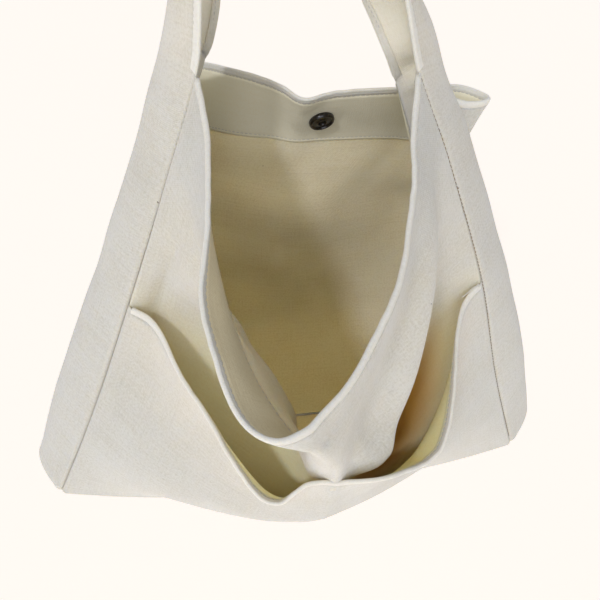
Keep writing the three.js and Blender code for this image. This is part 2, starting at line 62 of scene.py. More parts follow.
# sections of the panels: level, middle, left bow, right bow, peaks of the bows, rounds of smoothing
frontSections = [
    (0.00, (0, -6, -18), (0, -4, -4), (0, -4, -4), (0.5, 0.5), 20),
    (0.25, (2, -70, 32), (-14, -8, -8), (10, -5, -5), (0.5, 0.5), 20),
    (0.57, (7, -100, 109), (14, 30, 6), (0, 28, 6), (0.5, 0.5), 20),
    (0.80, (-8, -132, 194), (-8, 14, 0), (12, 18, -4), (0.6, 0.4), 20),
    (1.00, (-33, -153, 236), (-23, -4, -2), (27, 0, 0), (0.72, 0.4), 80)]
backSections = [
    (0.00, (0, 72, -16), (0, 2, -4), (0, 2, -4), (0.5, 0.5), 20),
    (0.30, (0, 112, 92), (-12, 26, -2), (12, 26, -2), (0.4, 0.6), 20),
    (0.65, (2, 92, 215), (-34, 44, 0), (38, 36, 0), (0.35, 0.65), 20)]
backHem = [  # folds of the back's hem: at the mouth, at the hem's lower edge
    ((-90, 126, 323), (-97, 124, 277)), ((-72, 146, 318), (-80, 142, 272)),
    ((-34, 104, 323), (-40, 108, 277)), ((-9, 84, 320), (-12, 99, 277)), ((4, 63, 319), (3, 93, 277)),
    ((20, 68, 320), (20, 93, 277)), ((37, 72, 320), (38, 93, 277)), ((68, 76, 320), (70, 94, 276)),
    ((124, 101, 311), (108, 100, 268)), ((144, 95, 306), (126, 94, 262)), ((144, 86, 305), (126, 87, 262)),
    ((124, 80, 306), (110, 79, 264)), ((92, 84, 316), (94, 75, 274))]
pocketLeft = [(-103, -5, 194), (-89, -34, 174), (-73, -58, 163), (-59, -83, 145), (-43, -99, 125),
              (-29, -102, 117), (-18, -101, 126), (-9, -99, 131)]
pocketRight = [(16, -101, 133), (39, -103, 134), (57, -98, 131), (73, -91, 130), (85, -82, 137),
               (98, -55, 158), (111, -15, 184), (121, 0, 193)]
pocketStitch = 0.033  # place of the pocket's centre stitch across the front
pocketPeak = {"rise": 0.05, "lift": 1.0, "spread": 0.1, "late": 4}  # its edge is drawn up beside that stitch
pocketRise = 3  # how late on its way up the pocket leaves the front
frontFolds = [  # from and to as across, up; width, height, peak
    ((0.22, 0.6), (0.96, 0.98), 22, 24, 0.25),
    ((-0.86, 0.86), (-0.52, 0.6), 14, -5, 0.5),
    ((-0.07, 0.58), (-0.1, 0.8), 10, 8, 0.3), ((-0.15, 0.58), (-0.19, 0.78), 12, 8, 0.3),
    ((0.13, 0.58), (0.14, 0.7), 9, 7, 0.3), ((0.2, 0.58), (0.2, 0.68), 12, 5, 0.3),
    ((-0.88, 0.78), (-0.92, 0.52), 7, -11, 0.6)]
snap = {"radius": 9.0, "down": 23.0, "sides": 24, "flat": 1.3, "fade": 2.4, "back": -0.055, "front": 0.05}


def through(stations, places, at):  # smooth curve through places at rising stations
    stations = np.asarray(stations, float)
    places = np.asarray(places, float)
    at = np.asarray(at, float).ravel()
    last = len(stations) - 1
    i = np.clip(np.searchsorted(stations, at, side="left") - 1, 0, last - 1)
    low = np.maximum(np.arange(last + 1) - 1, 0)
    high = np.minimum(np.arange(last + 1) + 1, last)
    gap = (stations[high] - stations[low]).reshape((-1,) + (1,) * (places.ndim - 1))
    slope = (places[high] - places[low]) / gap
    span = (stations[i + 1] - stations[i])[:, None]
    t = (at - stations[i])[:, None] / span
    pick = (lambda a, k: a[k, np.arange(len(at))]) if places.ndim == 3 else (lambda a, k: a[k])
    return (pick(places, i) * (2 * t**3 - 3 * t**2 + 1) + pick(slope, i) * (t**3 - 2 * t**2 + t) * span
            + pick(places, i + 1) * (3 * t**2 - 2 * t**3) + pick(slope, i + 1) * (t**3 - t**2) * span)


def bump(t, peak):  # 0 at both ends of 0..1 and 1 at the peak
    a = max(1, peak / (1 - peak))
    b = max(1, (1 - peak) / peak)
    top = a / (a + b)
    return t**a * (1 - t)**b / (top**a * (1 - top)**b)


def smooth(low, high, x):
    t = np.clip((np.asarray(x, float) - low) / (high - low), 0, 1)
    return t * t * (3 - 2 * t)


def unit(v):
    return v / np.maximum(np.linalg.norm(v, axis=-1, keepdims=True), 1e-9)


def byLength(line, ruler=None):  # a line of points read by its own length or a like line's, -1 to 1
    line = np.asarray(line, float)
    ruler = line if ruler is None else ruler
    reach = np.concatenate([[0], np.cumsum(np.linalg.norm(np.diff(ruler, axis=0), axis=1))])
    place = 2 * reach / reach[-1] - 1
    return lambda across: np.stack([np.interp(across, place, line[:, k]) for k in range(3)], 1)


def curve(places, others=None):  # a smooth curve through places, read by its length or that of others
    places = np.asarray(places, float)
    others = places if others is None else np.asarray(others, float)
    steps = np.sqrt(np.linalg.norm(np.diff(others, axis=0), axis=1))
    stations = np.concatenate([[0], np.cumsum(steps)])
    at = np.linspace(0, stations[-1], 161)
    return byLength(through(stations, places, at), through(stations, others, at))


def bandEdge(rows, edge, level):
    return through([r[0] for r in rows], [r[1 if edge == "front" else 2] for r in rows], level)


def panelSection(row, edge):
    level, middle, leftBow, rightBow, peaks, rounds = row
    steps = 80  # on each side of the middle
    t = np.arange(steps) / steps
    end = np.arange(steps + 1) / steps
    start = bandEdge(leftRows, edge, level)[0]
    stop = bandEdge(rightRows, edge, level)[0]
    middle = np.array(middle, float)
    left = start + np.outer(t, middle - start) + np.outer(bump(t, peaks[0]), leftBow)
    right = middle + np.outer(end, stop - middle) + np.outer(bump(end, peaks[1]), rightBow)
    line = np.concatenate([left, right])
    for _ in range(rounds):
        line[1:-1] = line[1:-1] / 2 + line[:-2] / 4 + line[2:] / 4
    return byLength(line)


def backHemPlaces(edge, level):
    ends = [bandEdge(rows, "back", level)[0] for rows in (leftRows, rightRows)]
    return [ends[0], *[r[edge] for r in backHem], ends[1]]


def loft(levels, sections, edge):
    def plain(across, up):
        return through(levels, np.stack([s(across) for s in sections]), up)

    def surface(across, up):
        side = np.where(across < 0, -1.0, 1.0)
        seam = np.where(across[:, None] < 0, bandEdge(leftRows, edge, up), bandEdge(rightRows, edge, up))
        off = seam - plain(side, up)
        return plain(across, up) + off * (np.abs(across)**6)[:, None]
    return surface


def faceNormal(surface, across, up, top=1.0):
    d = 0.004
    along = surface(np.minimum(1, across + d), up) - surface(np.maximum(-1, across - d), up)
    rise = surface(across, np.minimum(top, up + d)) - surface(across, np.maximum(0, up - d))
    return unit(np.cross(along, rise))


def withFolds(surface, folds):
    scale = np.array((cut["width"] / 2, cut["height"]))

    def folded(across, up):
        here = np.stack([across, up], 1) * scale
        rise = np.zeros(len(across))
        for start, stop, width, height, peak in folds:
            begin = np.array(start) * scale
            run = np.array(stop) * scale - begin
            held = np.clip((here - begin) @ run / (run @ run), 0, 1)
            off = np.linalg.norm(here - begin - np.outer(held, run), axis=1) / width
            rise += height * np.exp(-off * off) * bump(0.15 + 0.7 * held, peak)
        rise *= 1 - np.abs(across)**6
        return surface(across, up) + faceNormal(surface, across, up) * rise[:, None]
    return folded


panelHeight = float(np.linalg.norm(bandEdge(leftRows, "front", 1)[0] - bandEdge(leftRows, "front", 0)[0]))
hemStart = 1 - cut["hem"] / panelHeight
snapUp = 1 - snap["down"] / panelHeight


def flatUnderSnap(surface, seat):  # the cloth lies flat where the snap is pressed through it
    reach = 0.05
    one = np.array([snapUp])
    step = np.linalg.norm(surface(np.array([seat + reach]), one) - surface(np.array([seat]), one))
    angle = 2 * np.pi * np.arange(snap["sides"]) / snap["sides"]
    around = seat + snap["radius"] * reach / step * np.cos(angle)
    height = snapUp + snap["radius"] / panelHeight * np.sin(angle)
    centre = surface(around, height).mean(0)
    normal = unit(faceNormal(surface, around, height).sum(0))

    def flat(across, up):
        place = surface(across, up)
        far = np.linalg.norm(place - centre, axis=1) / snap["radius"]
        share = 1 - smooth(snap["flat"], snap["fade"], far)
        return place + np.outer(((centre - place) @ normal) * share, normal)
    return flat


puckers = {"panel": 0.15, "band": 0.13, "bandTop": 1.08, "wide": 5.0, "rim": 0.11, "rimFade": 8.0}
frontWrinkles = {"seed": 3, "height": 1.0, "size": 62, "start": 0.5, "full": 0.65}
backWrinkles = {"seed": 8, "height": 0.8, "size": 70, "start": 0, "full": 0.2}
pocketWrinkles = {"seed": 15, "height": 0.7, "size": 58, "start": 0.3, "full": 0.9}


def pucker(y, away):  # small puckers along a seam, strong in places and nearly none in others
    swing = np.sin(y / 1.5 + 2.1 * np.sin(y / 17)) * (0.35 + 0.65 * np.sin(y / 37 + 1.2 * np.sin(y / 61))**2)
    return swing * (away / puckers["wide"]) * np.exp(1 - away / puckers["wide"])


def wrinkled(surface, seed, height, size, start, full):  # soft waves from start upwards, none at the seams
    random = np.random.default_rng(seed)
    waves = [(random.uniform(0, np.pi), size * random.uniform(0.6, 1.8), random.uniform(0, 6.3))
             for _ in range(9)]

    def cloth(across, up):
        x = across * cut["width"] / 2
        y = up * cut["height"]
        rise = sum(np.sin(2 * np.pi * (x * np.cos(a) + y * np.sin(a)) / w + p) for a, w, p in waves) / 3
        drawn = puckers["panel"] * pucker(y, (1 - np.abs(across)) * cut["width"] / 2)
        ripple = np.sin(x / 2.7 + 1.9 * np.sin(x / 11)) + np.sin(x / 4.6 + 2.3 * np.sin(x / 19))
        ripple = puckers["rim"] * ripple * np.exp(-(1 - up) * cut["height"] / puckers["rimFade"])
        rise = (height * rise * (1 - np.abs(across)**8) + drawn + ripple) * smooth(start, full, up)
        return surface(across, up) + faceNormal(surface, across, up) * rise[:, None]
    return cloth


def baked(surface, columns=260, rows=260):  # worked out once on a fine grid, then read between its points
    across, up = np.meshgrid(np.linspace(-1, 1, columns + 1), np.linspace(0, 1, rows + 1))
    grid = surface(across.ravel(), up.ravel()).reshape(rows + 1, columns + 1, 3)
    grid = np.pad(grid, ((1, 1), (1, 1), (0, 0)), mode="reflect", reflect_type="odd")

    def weights(t):
        return (-t / 2 + t**2 - t**3 / 2, 1 - 2.5 * t**2 + 1.5 * t**3,
                t / 2 + 2 * t**2 - 1.5 * t**3, (t**3 - t**2) / 2)

    def read(across, up):
        x = (np.clip(across, -1, 1) + 1) / 2 * columns
        y = np.clip(up, 0, 1) * rows
        i = np.minimum(x.astype(int), columns - 1)
        j = np.minimum(y.astype(int), rows - 1)
        wx, wy = weights(x - i), weights(y - j)
        return sum((wy[m] * wx[n])[:, None] * grid[j + m, i + n] for m in range(4) for n in range(4))
    return read


frontLoft = loft([r[0] for r in frontSections], [panelSection(r, "front") for r in frontSections], "front")
mouthPlaces = backHemPlaces(0, 1)
backLoft = loft([r[0] for r in backSections] + [hemStart, 1.0],
                [panelSection(r, "back") for r in backSections]
                + [curve(backHemPlaces(1, hemStart), mouthPlaces), curve(mouthPlaces)], "back")
frontFolded = flatUnderSnap(withFolds(frontLoft, frontFolds), snap["front"])
frontCloth = baked(wrinkled(frontFolded, **frontWrinkles))
backCloth = baked(wrinkled(flatUnderSnap(backLoft, snap["back"]), **backWrinkles))


def pocketBase(across, up):  # flat on the front without its folds, the edge drawn up beside the centre stitch
    peak = np.exp(-((across - pocketStitch) / pocketPeak["spread"])**2) * up**pocketPeak["late"]
    level = up * cut["pocketTop"] + pocketPeak["rise"] * peak
    lift = cut["apart"] + pocketPeak["lift"] * peak
    return frontLoft(across, level) + faceNormal(frontLoft, across, level) * lift[:, None]


pocketEnds = pocketBase(np.array([-1, pocketStitch, 1]), np.ones(3))
pocketLeftEdge = curve([pocketEnds[0], *pocketLeft, pocketEnds[1]])
pocketRightEdge = curve([pocketEnds[1], *pocketRight, pocketEnds[2]])


def pocketPlain(across, up):  # lies on the front at its seams and centre stitch, and gapes between them
    left = (across < pocketStitch)[:, None]
    edge = np.where(left, pocketLeftEdge(2 * (across + 1) / (pocketStitch + 1) - 1),
                    pocketRightEdge(2 * (across - pocketStitch) / (1 - pocketStitch) - 1))
    gape = edge - pocketBase(across, np.ones(len(across)))
    return pocketBase(across, up) + gape * (up**pocketRise)[:, None]


pocketCloth = baked(wrinkled(pocketPlain, **pocketWrinkles), rows=160)


# height of the bands' lengthwise fold for each straight width, so that the strip keeps its cut width
chords = np.linspace(4, cut["band"], 240)
stripAcross = np.linspace(-1, 1, 61)


def stripLength(height):
    rise = height[:, None] * (1 - np.abs(stripAcross)**cut["bandRound"])
    return np.hypot(np.diff(stripAcross) * chords[:, None] / 2, np.diff(rise, axis=1)).sum(1)


low, high = np.zeros(len(chords)), np.full(len(chords), cut["band"])
for _ in range(30):
    half = (low + high) / 2
    short = stripLength(half) < cut["band"]
    low, high = np.where(short, half, low), np.where(short, high, half)
foldHeights = low

strapLevel = hang["strapLevel"]
runLength = hang["centreZ"] - leftRows[-1][1][2]
arcLength = hang["radius"] * np.pi / 2
mouthRow = 4  # the row of the band's table at the mouth
strapRise = leftRows[-1][1][2] - leftRows[mouthRow][1][2]
bandTop = strapLevel + (strapLevel - 1) * (runLength + arcLength) / strapRise


def bandEnds(rows, side, level):
    travelled = np.maximum(0, (level - strapLevel) / (bandTop - strapLevel) * (runLength + arcLength))
    found = []
    for edge, y in (("front", hang["frontY"]), ("back", hang["backY"])):
        below = bandEdge(rows, edge, np.minimum(level, strapLevel))
        start = np.array(rows[-1][1 if edge == "front" else 2], float)
        stop = np.array((hang["x"] + side * hang["radius"], y, hang["centreZ"]))
        run = start + np.outer(np.clip(travelled / runLength, 0, 1), stop - start)
        angle = np.maximum(0, travelled - runLength) / hang["radius"]
        arc = np.stack([hang["x"] + side * hang["radius"] * np.cos(angle), np.full(len(level), y),
                        hang["centreZ"] + hang["radius"] * np.sin(angle)], 1)
        above = np.where((travelled < runLength)[:, None], run, arc)
        found.append(np.where((level <= strapLevel)[:, None], below, above))
    return found


def bandCloth(rows, side):  # across -1 is the front edge, 1 the back edge; up is the level
    def surface(across, level):
        front, back = bandEnds(rows, side, level)
        front0, back0 = bandEnds(rows, side, np.maximum(0, level - 0.01))
        front1, back1 = bandEnds(rows, side, level + 0.01)
        along = unit(front1 + back1 - front0 - back0)
        chord = back - front
        width = np.linalg.norm(chord, axis=1, keepdims=True)
        chord = chord / width
        out = unit(np.cross(chord, along)) * side
        lean = through([r[0] for r in rows], [[r[3]] for r in rows], np.minimum(level, strapLevel))[:, 0]
        tilt = np.radians(np.where(level < strapLevel, lean, 0))[:, None]
        fold = out * np.cos(tilt) + chord * np.sin(tilt)
        rise = np.interp(width[:, 0], chords, foldHeights) * (1 - np.abs(across)**cut["bandRound"])
        return (front + back) / 2 + chord * width * across[:, None] / 2 + fold * rise[:, None]
    return surface


slack = 0.16  # height of the bands' slack waves


def bandWaves(surface, seed, crumple):  # slack waves down the strip, and the crumple at a pulled corner
    random = np.random.default_rng(seed)
    waves = [(random.uniform(-0.5, 0.5), random.uniform(45, 110), random.uniform(0, 6.3)) for _ in range(6)]

    def cloth(across, level):
        y = level * cut["height"]
        x = across * cut["band"] / 2
        rise = slack * sum(np.sin(2 * np.pi * (y * np.cos(a) + x * np.sin(a)) / s + p) for a, s, p in waves)
        drawn = puckers["band"] * pucker(y, (1 - np.abs(across)) * cut["band"] / 2)
        rise = rise * (1 - np.abs(across)**6) + drawn * (level < puckers["bandTop"])
        free = 1 - np.abs(across)**6 * (1 - smooth(1, 1.04, level))
        for atLevel, width, place, spread, height in crumple:
            rise += free * height * np.exp(-((level - atLevel) / width)**2 - ((across - place) / spread)**2)
        return surface(across, level) + faceNormal(surface, across, level, bandTop) * rise[:, None]
    return cloth


leftCloth = bandWaves(bandCloth(leftRows, -1), 21, [])
rightCloth = bandWaves(bandCloth(rightRows, 1), 34, [  # level, its width, place across, its width, height
    (1.13, 0.09, 0.42, 0.2, 5.0), (1.13, 0.08, 0.95, 0.22, -5.0), (1.035, 0.02, 0.8, 0.35, -5.0),
    (1.012, 0.012, 0.75, 0.4, 4.5), (0.985, 0.012, 0.6, 0.35, -3.0)])


def bottomCloth(across, back):  # fills between the panels' bottom edges and the bands' bottom ends
    p = ((across + 1) / 2)[:, None]
    q = np.asarray(back, float)[:, None]
    zero = np.zeros(len(across))
    ends = [np.array(rows[0][k], float) for rows in (leftRows, rightRows) for k in (1, 2)]
    return (frontCloth(across, zero) * (1 - q) + backCloth(across, zero) * q
            + leftCloth(2 * q[:, 0] - 1, zero) * (1 - p) + rightCloth(2 * q[:, 0] - 1, zero) * p
            - ends[0] * (1 - p) * (1 - q) - ends[2] * p * (1 - q) - ends[1] * (1 - p) * q - ends[3] * p * q)


def onGrid(surface, across, up):
    return surface(across.ravel(), up.ravel()).reshape(across.shape + (3,))


def normalGrid(surface, across, up, top=1.0):
    return faceNormal(surface, across.ravel(), up.ravel(), top).reshape(across.shape + (3,))


print("cloth surfaces ready")


# materials
def plug(tree, value, socket):  # a link from another node, or a plain value
    if isinstance(value, bpy.types.NodeSocket):
        tree.links.new(value, socket)
    else:
        socket.default_value = value


def addNode(tree, kind, inputs=(), **settings):
    node = tree.nodes.new(kind)
    for key, value in settings.items():
        setattr(node, key, value)
    for key, value in dict(inputs).items():
        plug(tree, value, node.inputs[key])
    return node


def calc(tree, operation, *values, clamp=False):
    inputs = enumerate(values)
    return addNode(tree, "ShaderNodeMath", inputs, operation=operation, use_clamp=clamp).outputs[0]


def noise(tree, place, scale, detail=2.0, rough=0.5):
    inputs = {"Vector": place, "Scale": scale, "Detail": detail, "Roughness": rough}
    return addNode(tree, "ShaderNodeTexNoise", inputs).outputs["Fac"]


def mixed(tree, share, one, two, way="MIX"):  # colours are sockets or three numbers
    one, two = [c if isinstance(c, bpy.types.NodeSocket) else (*c, 1) for c in (one, two)]
    inputs = {0: share, 6: one, 7: two}  # the node's sockets for colours
    return addNode(tree, "ShaderNodeMix", inputs, data_type="RGBA", blend_type=way).outputs[2]


def fade(tree, value, none, full):  # 0 to 1 between two values
    inputs = {"Value": value, "From Min": none, "From Max": full}
    return addNode(tree, "ShaderNodeMapRange", inputs, interpolation_type="SMOOTHSTEP").outputs[0]


def bumped(tree, height, strength, distance):
    inputs = {"Height": height, "Strength": strength, "Distance": distance}
    return addNode(tree, "ShaderNodeBump", inputs).outputs[0]


def newMaterial(name):
    material = bpy.data.materials.new(name)
    material.use_nodes = True
    return material, material.node_tree


def toShader(tree, inputs):
    for key, value in inputs.items():
        plug(tree, value, tree.nodes["Principled BSDF"].inputs[key])


weaveLook = {  # for each effect its share in the shade and where that starts; then scales of the patterns
    "weave": (0.14, 0.2), "slub": (0.65, -0.65), "cloud": (0.9, -0.42), "grain": (1.7, -0.85),
    "yarn": 0.00068, "slubScales": ((1300, 28, 1), (20, 520, 1)), "cloudScale": 22.0, "grainScale": 520.0,
    "fleckScale": 42.0, "fleckChance": 0.1, "fleckSize": (0.03, 0.014), "fleckDepth": 0.7,
    "fleckTint": (0.12, 0.08, 0.04, 1), "relief": 0.45, "rough": (0.08, 0.82)}


def makeWeaveGroup():  # yarns along both ways of the cloth, slubs, flecks and soft soiling
    tree = bpy.data.node_groups.new("canvasWeave", "ShaderNodeTree")
    for label, kind, key in (("Cloth", "Vector", None), ("Yarn", "Float", "yarn"), ("Light", "Color", None),
                             ("Dark", "Color", None), ("Fleck", "Color", "fleckTint")):
        socket = tree.interface.new_socket(name=label, in_out="INPUT", socket_type="NodeSocket" + kind)
        if key:
            socket.default_value = weaveLook[key]
    for label, kind in (("Color", "Color"), ("Height", "Float"), ("Roughness", "Float")):
        tree.interface.new_socket(name=label, in_out="OUTPUT", socket_type="NodeSocket" + kind)
    given = tree.nodes.new("NodeGroupInput").outputs
    place = given["Cloth"]
    split = addNode(tree, "ShaderNodeSeparateXYZ", {0: place}).outputs
    yarns = []
    for axis in (0, 1):  # one sine along the width and one along the length
        share = calc(tree, "DIVIDE", split[axis], given["Yarn"])
        yarns.append(calc(tree, "SINE", calc(tree, "MULTIPLY", share, math.pi)))
    weave = calc(tree, "MULTIPLY", *yarns)
    slubs = []
    for scale in weaveLook["slubScales"]:  # thick and thin yarns, each along its own way
        stretch = addNode(tree, "ShaderNodeVectorMath", {0: place, 1: scale}, operation="MULTIPLY").outputs[0]
        slubs.append(noise(tree, stretch, 1.0, 2.0, 0.6))
    slub = calc(tree, "ADD", *slubs)
    cloud = noise(tree, place, weaveLook["cloudScale"], 4.0, 0.55)
    grain = noise(tree, place, weaveLook["grainScale"], 2.0, 0.7)
    shade = calc(tree, "MULTIPLY_ADD", weave, *weaveLook["weave"])
    for key, effect in (("slub", slub), ("cloud", cloud), ("grain", grain)):
        share = calc(tree, "MULTIPLY_ADD", effect, *weaveLook[key])
        shade = calc(tree, "ADD", shade, share, clamp=key == "grain")
    ground = mixed(tree, shade, given["Light"], given["Dark"])
    cells = addNode(tree, "ShaderNodeTexVoronoi", {"Vector": place, "Scale": weaveLook["fleckScale"]}).outputs
    chance = addNode(tree, "ShaderNodeSeparateColor", {0: cells["Color"]}).outputs
    few = calc(tree, "LESS_THAN", chance[0], weaveLook["fleckChance"])
    size = calc(tree, "MULTIPLY_ADD", chance[1], *weaveLook["fleckSize"])
    seed = calc(tree, "MULTIPLY", few, calc(tree, "LESS_THAN", cells["Distance"], size))
    fleck = calc(tree, "MULTIPLY", seed, weaveLook["fleckDepth"])
    raised = calc(tree, "ADD", slub, calc(tree, "MULTIPLY", weave, weaveLook["relief"]))
    addNode(tree, "NodeGroupOutput", {
        "Color": mixed(tree, fleck, ground, given["Fleck"]), "Height": calc(tree, "ADD", grain, raised),
        "Roughness": calc(tree, "MULTIPLY_ADD", slub, *weaveLook["rough"], clamp=True)})
    return tree


weaveGroup = makeWeaveGroup()

# painted golden-brown shade deep in the pocket's right half, as a place on the front's flat cloth in metres
paintedShadeSpot = {"middle": (0.094, 0.171, 0), "turn": 0.58, "reach": (0.095, 0.064, 1),
             "fade": (1.0, 0.3), "tint": (0.56, 0.38, 0.12)}
paintedShadeEdge = (0.25, 0.17)  # heights on the front's flat cloth where the painted shade in the pocket begins and is full
clothRelief = (0.6, 0.00025)  # strength and depth of the weave's relief
clothLook = {"Specular IOR Level": 0.15, "Sheen Weight": 0.12, "Sheen Roughness": 0.6,
             "Subsurface Radius": (1.0, 0.85, 0.6), "Subsurface Scale": 0.003}
clothTints = {  # light yarn, dark yarn, how much light comes through the thin cloth
    "outer": ((0.75, 0.708, 0.615), (0.58, 0.528, 0.412), 1.0),
    # a warmer copy of the same canvas for the inside faces, painted golden shade of the bag's interior
    "inner": ((0.80, 0.745, 0.61), (0.635, 0.565, 0.42), 1.0),
    # a golden copy of the canvas for the cloth in the pocket, painted golden shade
    "paintedShade": ((1.0, 0.86, 0.55), (0.94, 0.77, 0.43), 1.0),
    # a lighter copy of the canvas for the back's hem facing, painted light
    "paintedLightFacing": ((1.0, 0.95, 0.73), (0.97, 0.89, 0.63), 0.0),
    # a lighter copy of the canvas for the bands' insides and the back's rim, painted light
    "paintedLightLining": ((0.97, 0.91, 0.77), (0.89, 0.82, 0.66), 0.5),
    # a lighter copy of the canvas for the rolled rims of the front and the pocket, painted light along the
    # edges
    "rim": ((0.91, 0.86, 0.74), (0.81, 0.75, 0.61), 0.4),
    # a golden copy of the canvas for the inner layer of the front's hem, painted golden shade
    "hem": ((0.98, 0.86, 0.57), (0.87, 0.73, 0.43), 0.0)}


def makeCanvas(name, look, low=None):  # low is the look of the painted shade below the pocket's edge
    material, tree = newMaterial(name + "Canvas")
    cloth = addNode(tree, "ShaderNodeUVMap", uv_map="cloth").outputs[0]
    light, dark, glow = clothTints[look]
    tints = [(*light, 1), (*dark, 1)]
    if low:
        height = addNode(tree, "ShaderNodeSeparateXYZ", {0: cloth}).outputs[1]
        share = fade(tree, height, *paintedShadeEdge)
        tints = [mixed(tree, share, *pair) for pair in zip((light, dark), clothTints[low])]
    inputs = {"Cloth": cloth, "Light": tints[0], "Dark": tints[1]}
    weave = addNode(tree, "ShaderNodeGroup", inputs, node_tree=weaveGroup).outputs
    colour = weave["Color"]
    # a painted golden-brown shadow deep in the pocket's right half, multiplied into the colour
    if low:
        paintedSpot = addNode(tree, "ShaderNodeMapping", {
            "Vector": cloth, "Location": paintedShadeSpot["middle"], "Rotation": (0, 0, paintedShadeSpot["turn"]),
            "Scale": paintedShadeSpot["reach"]}, vector_type="TEXTURE").outputs[0]
        away = addNode(tree, "ShaderNodeVectorMath", {0: paintedSpot}, operation="LENGTH").outputs["Value"]
        colour = mixed(tree, fade(tree, away, *paintedShadeSpot["fade"]), colour, paintedShadeSpot["tint"], "MULTIPLY")
    toShader(tree, {"Base Color": colour, "Roughness": weave["Roughness"], "Subsurface Weight": glow,
                    "Normal": bumped(tree, weave["Height"], *clothRelief), **clothLook})
    return material


threadLook = {"twist": 900.0, "relief": (0.4, 0.0001), "rough": 0.7}
enamelLook = {"blotches": 320.0, "detail": 5.0, "tints": ((0.004, 0.003, 0.0026), (0.013, 0.009, 0.007)),
              "rough": (0.2, 0.38), "shine": {"Metallic": 0.1, "Coat Weight": 0.25, "Coat Roughness": 0.08}}


def makeThread(name, dark, light):
    material, tree = newMaterial(name)
    place = addNode(tree, "ShaderNodeTexCoord").outputs["Object"]
    inputs = {"Vector": place, "Scale": threadLook["twist"]}
    twist = addNode(tree, "ShaderNodeTexWave", inputs, bands_direction="DIAGONAL").outputs["Fac"]
    toShader(tree, {"Base Color": mixed(tree, twist, dark, light), "Roughness": threadLook["rough"],
                    "Normal": bumped(tree, twist, *threadLook["relief"])})
    return material


def makeEnamel():  # black-brown enamel, thin and a little rubbed
    material, tree = newMaterial("snapEnamel")
    place = addNode(tree, "ShaderNodeTexCoord").outputs["Object"]
    blotch = noise(tree, place, enamelLook["blotches"], enamelLook["detail"])
    least, most = enamelLook["rough"]
    rough = addNode(tree, "ShaderNodeMapRange", {"Value": blotch, "To Min": least, "To Max": most}).outputs[0]
    toShader(tree, {"Base Color": mixed(tree, blotch, *enamelLook["tints"]), "Roughness": rough,
                    **enamelLook["shine"]})
    return material


canvases = {name: makeCanvas(name, name) for name in clothTints}
# the front's outer face turns to the painted golden shade below the pocket's edge
canvases["front"] = makeCanvas("front", "outer", "paintedShade")
threadMaterial = makeThread("cottonThread", (0.66, 0.62, 0.52), (0.78, 0.75, 0.66))
# brown thread, its darkness partly a painted shadow of the groove in the right front seam
brownThreadAndShadow = makeThread("brownThreadAndShadow", (0.20, 0.13, 0.07), (0.34, 0.24, 0.14))
enamelMaterial = makeEnamel()
print("materials ready")


# sheets of cloth from grids of points, welded where they meet and given the cloth's thickness
def deselectAll():
    bpy.ops.object.select_all(action="DESELECT")


def addPiece(name, points, faces, materials):  # points as in the tables; the new piece is the active one
    mesh = bpy.data.meshes.new(name)
    mesh.from_pydata(((np.concatenate(points) + bagToFrame) * mm).tolist(), [], faces)
    for material in materials:
        mesh.materials.append(material)
    piece = bpy.data.objects.new(name, mesh)
    bpy.context.collection.objects.link(piece)
    deselectAll()
    piece.select_set(True)
    bpy.context.view_layer.objects.active = piece
    return piece


def editAll(operator, **settings):  # one operator on all of the active piece's mesh
    bpy.ops.object.mode_set(mode="EDIT")
    bpy.ops.mesh.select_all(action="SELECT")
    operator(**settings)
    bpy.ops.object.mode_set(mode="OBJECT")


def clothObject(name, grids, out, looks):  # out is 1 where the grids' face normal looks out of the bag
    points, faces, maps, slots = [], [], [], []
    start = 0
    for place, flat, slot in grids:
        rows, columns = place.shape[:2]
        points.append(place.reshape(-1, 3))
        number = start + np.arange(rows * columns).reshape(rows, columns)
        quads = np.stack([number[:-1, :-1], number[:-1, 1:], number[1:, 1:], number[1:, :-1]], 2)
        quads = quads.reshape(-1, 4)[:, ::out]
        faces.append(quads)
        maps.append(flat.reshape(-1, 2)[quads.ravel() - start] * mm)
        slots.append(np.full(len(quads), slot))
        start += rows * columns
    piece = addPiece(name, points, np.concatenate(faces).tolist(), [canvases[look] for look in looks])
    piece.data.uv_layers.new(name="cloth").data.foreach_set("uv", np.concatenate(maps).ravel())
    piece.data.polygons.foreach_set("material_index", np.concatenate(slots))
    editAll(bpy.ops.mesh.remove_doubles, threshold=0.000004)
    thick = piece.modifiers.new("thickness", "SOLIDIFY")
    thick.thickness = cut["layer"] * mm
    thick.offset = 0
    thick.use_quality_normals = True
    thick.material_offset = 1
    bpy.ops.object.modifier_apply(modifier=thick.name)
    bpy.ops.object.shade_smooth()
    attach(piece, "root")
    print(name, len(piece.data.polygons), "faces")
    return piece


hemStitch = {"in": 3.7, "pitch": 3.3, "length": 2.7, "wide": 0.62, "high": 0.5}
lowStitch = {"up": 2.5, "pinch": 0.22, "wide": 0.9}  # a wide hem's second line, above its lower edge
hemApart = 1.35  # between the middles of a hem's two layers
hemSwell = [(0.4, 1.6, 1.0), (0.25, 5.6, 1.0), (-0.5, hemStitch["in"], 0.6)]  # height, place, width
hemWeight = {"outside": 0.6, "inside": 0.9}  # how much of that each layer shows
hemRoll = {"wider": 0.35, "length": 2.6, "end": 0.75}  # round the edge, and where the inner layer ends
nearEdge = np.array([11, 8.5, 6.5, 5.2, 4.4, 3.7, 3.0, 2.4, 1.8, 1.2, 0.6, 0])  # rows beside a hem's edge
nearStitch = np.array([4, 2.8, 1.9, 1.2, 0.6, 0, -0.6, -1.2, -1.9, -2.8, -4])  # and its lower stitches
seamRoll = {"length": 3.2, "gap": 0.08, "layer": 1.1, "pull": 0.6}  # how cloth rounds into a sewn seam
seamLean = {"inward": 0.6, "apart": 0.3}  # how far a seam follows the sheets' faces
seamPress = 0.55  # the back's bottom seam is pressed towards the bottom
